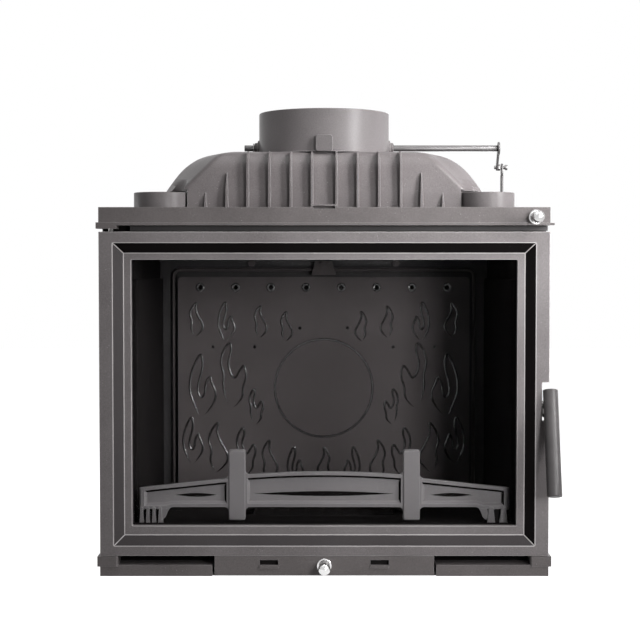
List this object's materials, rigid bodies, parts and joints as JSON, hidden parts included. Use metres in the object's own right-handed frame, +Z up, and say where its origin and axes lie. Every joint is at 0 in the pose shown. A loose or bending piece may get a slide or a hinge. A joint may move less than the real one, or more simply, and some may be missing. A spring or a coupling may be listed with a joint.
{
  "type": "fireplace insert",
  "caption": "Cast iron fireplace insert with a wide glazed door, ribbed smoke dome, flue collar with a damper, log guard and an ash drawer with an air control.",
  "frame": {"origin": "on the floor, in the middle of the width, 215 mm behind the door's face", "axes": "+Z up, +Y to the back, +X to the right as seen from the front"},
  "size_m": [0.707, 0.4705, 0.727],
  "materials": {
    "painted_iron": "fine grained graphite paint, satin",
    "dark_iron": "dark cast iron, matt",
    "firebox_iron": "dark heat proof paint, satin",
    "steel": "plain steel, satin",
    "chrome": "polished",
    "glass": "clear ceramic glass",
    "rope": "braided glass fibre",
    "grip": "satin grey paint"
  },
  "bodies": {
    "stove_body": {"base_plate": "painted_iron", "front_frame": "painted_iron", "left_side_wall": "dark_iron", "right_side_wall": "dark_iron", "back_wall": "dark_iron", "back_rim": "dark_iron", "top_plate": "painted_iron", "top_bolts": "steel", "smoke_dome": "painted_iron", "dome_bolts": "steel", "flue_collar": "painted_iron", "collar_bolts": "steel", "left_air_spigot": "painted_iron", "right_air_spigot": "painted_iron", "hearth_plate": "firebox_iron", "grate": "firebox_iron", "log_guard": "painted_iron", "fireback": "firebox_iron", "fireback_clamp": "firebox_iron", "fireback_bolts": "steel", "left_side_plate": "firebox_iron", "right_side_plate": "firebox_iron", "baffle_plate": "firebox_iron", "air_deflector": "dark_iron", "deflector_screws": "steel", "latch_keeper": "steel", "upper_hinge_pin": "steel", "lower_hinge_pin": "steel", "hinge_washer": "steel", "pull_rod_bush": "chrome"},
    "door": {"door_frame": "painted_iron", "door_glass": "glass", "glass_gasket": "rope", "glass_clips": "steel", "clip_screws": "steel", "door_rope": "rope"},
    "latch": {"latch_lever": "dark_iron", "latch_pivot": "steel", "latch_washer": "steel", "handle_grip": "grip", "grip_screw": "steel"},
    "ash_drawer": {"drawer_front": "painted_iron", "ash_pan": "steel", "pan_rivets": "steel", "air_rod_bush": "chrome"},
    "air_control": {"air_shutter": "steel", "air_rod": "steel", "air_knob": "chrome"},
    "damper": {"damper_shaft": "steel", "damper_blade": "dark_iron", "damper_screws": "steel", "shaft_clip": "steel", "crank_arm": "steel", "crank_bolt": "steel", "crank_nut": "steel"},
    "damper_pull": {"pull_rod": "steel", "damper_knob": "chrome"}
  },
  "joints": [
    {"name": "door_hinge", "type": "hinge", "parent": "stove_body", "child": "door", "pos_m": [-0.3275, -0.2, 0.28], "axis": [0, 0, -1], "range_deg": [0, 105]},
    {"name": "latch_lift", "type": "hinge", "parent": "door", "child": "latch", "pos_m": [0.339, -0.202, 0.255], "axis": [-1, 0, 0], "range_deg": [0, 45]},
    {"name": "drawer_slide", "type": "slide", "parent": "stove_body", "child": "ash_drawer", "axis": [0, -1, 0], "range_m": [0, 0.25]},
    {"name": "air_slide", "type": "slide", "parent": "ash_drawer", "child": "air_control", "axis": [0, 1, 0], "range_m": [0, 0.01]},
    {"name": "damper_slide", "type": "slide", "parent": "stove_body", "child": "damper_pull", "axis": [0, -1, 0], "range_m": [0, 0.046]},
    {"name": "damper_turn", "type": "hinge", "parent": "stove_body", "child": "damper", "pos_m": [0, -0.02, 0.6714], "axis": [-1, 0, 0], "range_deg": [0, 75.5]}
  ],
  "couplings": [
    {"joint": "damper_turn", "follows": "damper_slide", "rad_per_m": 28.456}
  ]
}
